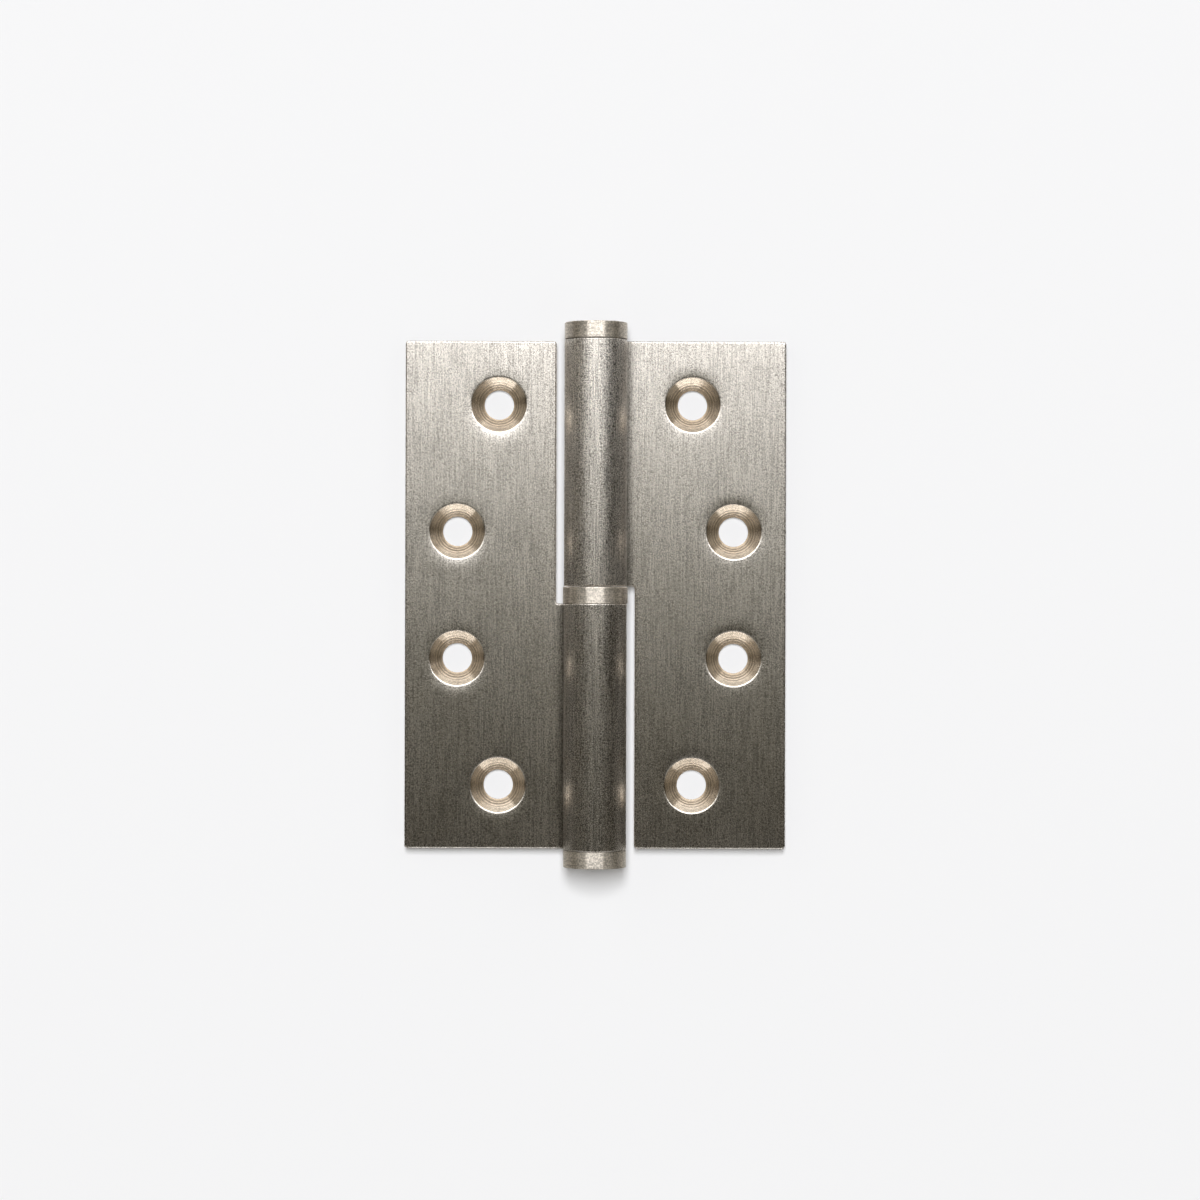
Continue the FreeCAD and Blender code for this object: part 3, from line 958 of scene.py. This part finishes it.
def finish_glow(tree, colour, strength):
    """Gives the light off, but not by way of the metal on to the board."""
    board_bounces = add_node(tree, "ShaderNodeLightPath").outputs["Diffuse Depth"]
    kept = add_maths(tree, "MULTIPLY", add_maths(tree, "LESS_THAN", board_bounces, 0.5), strength)
    glow = add_node(tree, "ShaderNodeEmission", {"Color": colour, "Strength": kept})
    add_node(tree, "ShaderNodeOutputLight", {"Surface": glow.outputs[0]})


def make_soft_light(name, place, way, width, height, radiance, on_metal=True, on_board=True):
    """Rectangular soft light that shines that way."""
    lamp = bpy.data.lights.new(name, "AREA")
    lamp.shape = "RECTANGLE"
    lamp.size = width
    lamp.size_y = height
    lamp.energy = radiance * math.pi * width * height
    light = add_object(name, lamp)
    light.location = place
    light.rotation_euler = Vector(way).to_track_quat("-Z", "Y").to_euler()
    light.visible_camera = False
    light.visible_glossy = on_metal
    light.visible_diffuse = on_board
    if not on_board:
        finish_glow(start_glow(light), WHITE, 1.0)
    return light


def make_front_light(name, distance, across, rise, radiance, on_metal=True, on_board=True):
    """Upright soft light before the hinge that fills a range of angles to the side and of angles up."""
    left, right = (distance * math.tan(angle) for angle in across)
    low, high = (distance * math.tan(angle) for angle in rise)
    place = ((left + right) / 2, -distance, (low + high) / 2)
    return make_soft_light(name, place, BACK_WAY, right - left, high - low, radiance, on_metal, on_board)


def fade_down(light, full_rise, none_rise, tongue_width, tongue_share):
    """Lets the light fade from one angle up to a lower one, later in a tongue before the hinge."""
    tree = start_glow(light)
    place = add_node(tree, "ShaderNodeNewGeometry").outputs["Position"]
    at = add_node(tree, "ShaderNodeSeparateXYZ", {0: place}).outputs
    low, high = (LIGHT_DISTANCE * math.tan(angle) for angle in (none_rise, full_rise))
    up = add_remap(tree, at["Z"], low, high, smooth=False)
    faded = add_maths(tree, "POWER", up, FADE_POWER)
    reach = LIGHT_DISTANCE * math.tan(tongue_width)
    inside = add_remap(tree, add_maths(tree, "ABSOLUTE", at["X"]), reach, 0.0)
    tongue = add_maths(tree, "MULTIPLY", inside, add_remap(tree, up, 0.0, TONGUE_TOP, 0.0, tongue_share))
    colour = add_colour_mix(tree, add_remap(tree, up, 0.1, 0.7, smooth=False), WARM_GLOW, WHITE)
    finish_glow(tree, colour, add_maths(tree, "ADD", faded, tongue))


def make_surroundings():
    """Pale surroundings to the camera, and to the metal the dim room with its pale table and ceiling."""
    world = bpy.data.worlds.new("studio")
    world.use_nodes = True
    tree = world.node_tree
    tree.nodes.clear()
    coordinates = add_node(tree, "ShaderNodeTexCoord")
    way = add_node(tree, "ShaderNodeSeparateXYZ", {0: coordinates.outputs["Generated"]}).outputs

    # A way has the length 1: X to the right, Y to the back, Z up. Each pair of limits is where one colour
    # gives way to the next.
    behind = add_colour_mix(tree, add_remap(tree, way["Z"], -0.16, 0.16), BEHIND_LOW, BEHIND_HIGH)
    bright_behind = add_colour_mix(tree, add_remap(tree, way["Y"], 0.1, 1.0), behind, BEHIND_GAIN,
                                   blend="MULTIPLY")
    window = add_maths(tree, "MULTIPLY", add_remap(tree, way["X"], -0.3, -0.9),
                       add_remap(tree, way["Z"], 0.0, 0.12))
    sides = add_remap(tree, add_maths(tree, "ABSOLUTE", way["X"]), 0.2, 0.5)
    table = add_maths(tree, "MULTIPLY", sides,
                      add_remap(tree, add_maths(tree, "ABSOLUTE", way["Z"]), 0.12, 0.34))
    room = add_colour_mix(tree, window, DIM_ROOM, WINDOW)
    front = add_colour_mix(tree, table, room, TABLE_AND_CEILING)
    seen = add_colour_mix(tree, add_remap(tree, way["Y"], 0.05, 0.18), front, bright_behind)
    from_camera = add_node(tree, "ShaderNodeLightPath").outputs["Is Camera Ray"]
    colour = add_colour_mix(tree, from_camera, seen, BACKDROP)
    background = add_node(tree, "ShaderNodeBackground", {"Color": colour})
    add_node(tree, "ShaderNodeOutputWorld", {"Surface": background.outputs[0]})
    bpy.context.scene.world = world


def make_camera(stage):
    lens = bpy.data.cameras.new("camera")
    lens.lens = stage.lens
    lens.sensor_width = 36.0
    lens.clip_start = 0.01
    lens.clip_end = 20.0
    camera = add_object("camera", lens)
    camera.location = (stage.camera_across, -stage.camera_distance, stage.camera_up)
    camera.rotation_euler = (QUARTER_TURN, stage.camera_roll, 0.0)
    bpy.context.scene.camera = camera


class HINGE_OT_make_stage(bpy.types.Operator):
    """Sets up the board, the soft lights and the camera"""
    bl_idname = "hinge.make_stage"
    bl_label = "Stage"

    def execute(self, context):
        stage = context.scene.hinge_stage
        make_board(stage)
        make_surroundings()
        main_light = make_front_light("main_light", LIGHT_DISTANCE, MAIN_ACROSS, MAIN_RISE,
                                      stage.main_radiance, on_board=False)
        fade_down(main_light, FULL_RISE, MAIN_RISE[0], TONGUE_WIDTH, TONGUE_SHARE)
        make_front_light("low_light", LIGHT_DISTANCE, LOW_ACROSS, LOW_RISE, stage.low_radiance,
                         on_board=False)
        make_front_light("board_light", BOARD_LIGHT_DISTANCE, BOARD_ACROSS, BOARD_RISE,
                         stage.board_radiance, on_metal=False)
        for name, side, (far, near), radiance in (
            ("top_light", 1.0, TOP_LIGHT, stage.top_radiance),
            ("bottom_light", -1.0, BOTTOM_LIGHT, stage.bottom_radiance),
        ):
            place = (0.0, (far + near) / 2, side * END_LIGHT_DISTANCE)
            make_soft_light(name, place, (0.0, 0.0, -side), 2 * END_LIGHT_DISTANCE, near - far, radiance,
                            on_board=False)
        make_camera(stage)
        context.scene.view_settings.view_transform = "Standard"
        return {"FINISHED"}


class HINGE_PT_pieces(bpy.types.Panel):
    """Pieces of the hinge, with their sizes"""
    bl_idname = "HINGE_PT_pieces"
    bl_label = "Lift off hinge"
    bl_space_type = "VIEW_3D"
    bl_region_type = "UI"
    bl_category = "Hinge"

    def draw(self, context):
        layout = self.layout
        for operator in OPERATORS:
            layout.operator(operator.bl_idname)
        for name, settings in SETTINGS.items():
            box = layout.box()
            for field in settings.__annotations__:
                box.prop(getattr(context.scene, name), field)


OPERATORS = (
    HINGE_OT_make_leaves,
    HINGE_OT_make_pin,
    HINGE_OT_make_ring_and_caps,
    HINGE_OT_make_stage,
)


def register():
    for kind in (*SETTINGS.values(), *OPERATORS, HINGE_PT_pieces):
        bpy.utils.register_class(kind)
    for name, settings in SETTINGS.items():
        setattr(bpy.types.Scene, name, PointerProperty(type=settings))


def unregister():
    for name in SETTINGS:
        delattr(bpy.types.Scene, name)
    for kind in reversed((*SETTINGS.values(), *OPERATORS, HINGE_PT_pieces)):
        bpy.utils.unregister_class(kind)


def main():
    register()
    bpy.ops.hinge.make_leaves()
    bpy.ops.hinge.make_pin()
    bpy.ops.hinge.make_ring_and_caps()
    bpy.ops.hinge.make_stage()


if __name__ == "__main__":
    main()
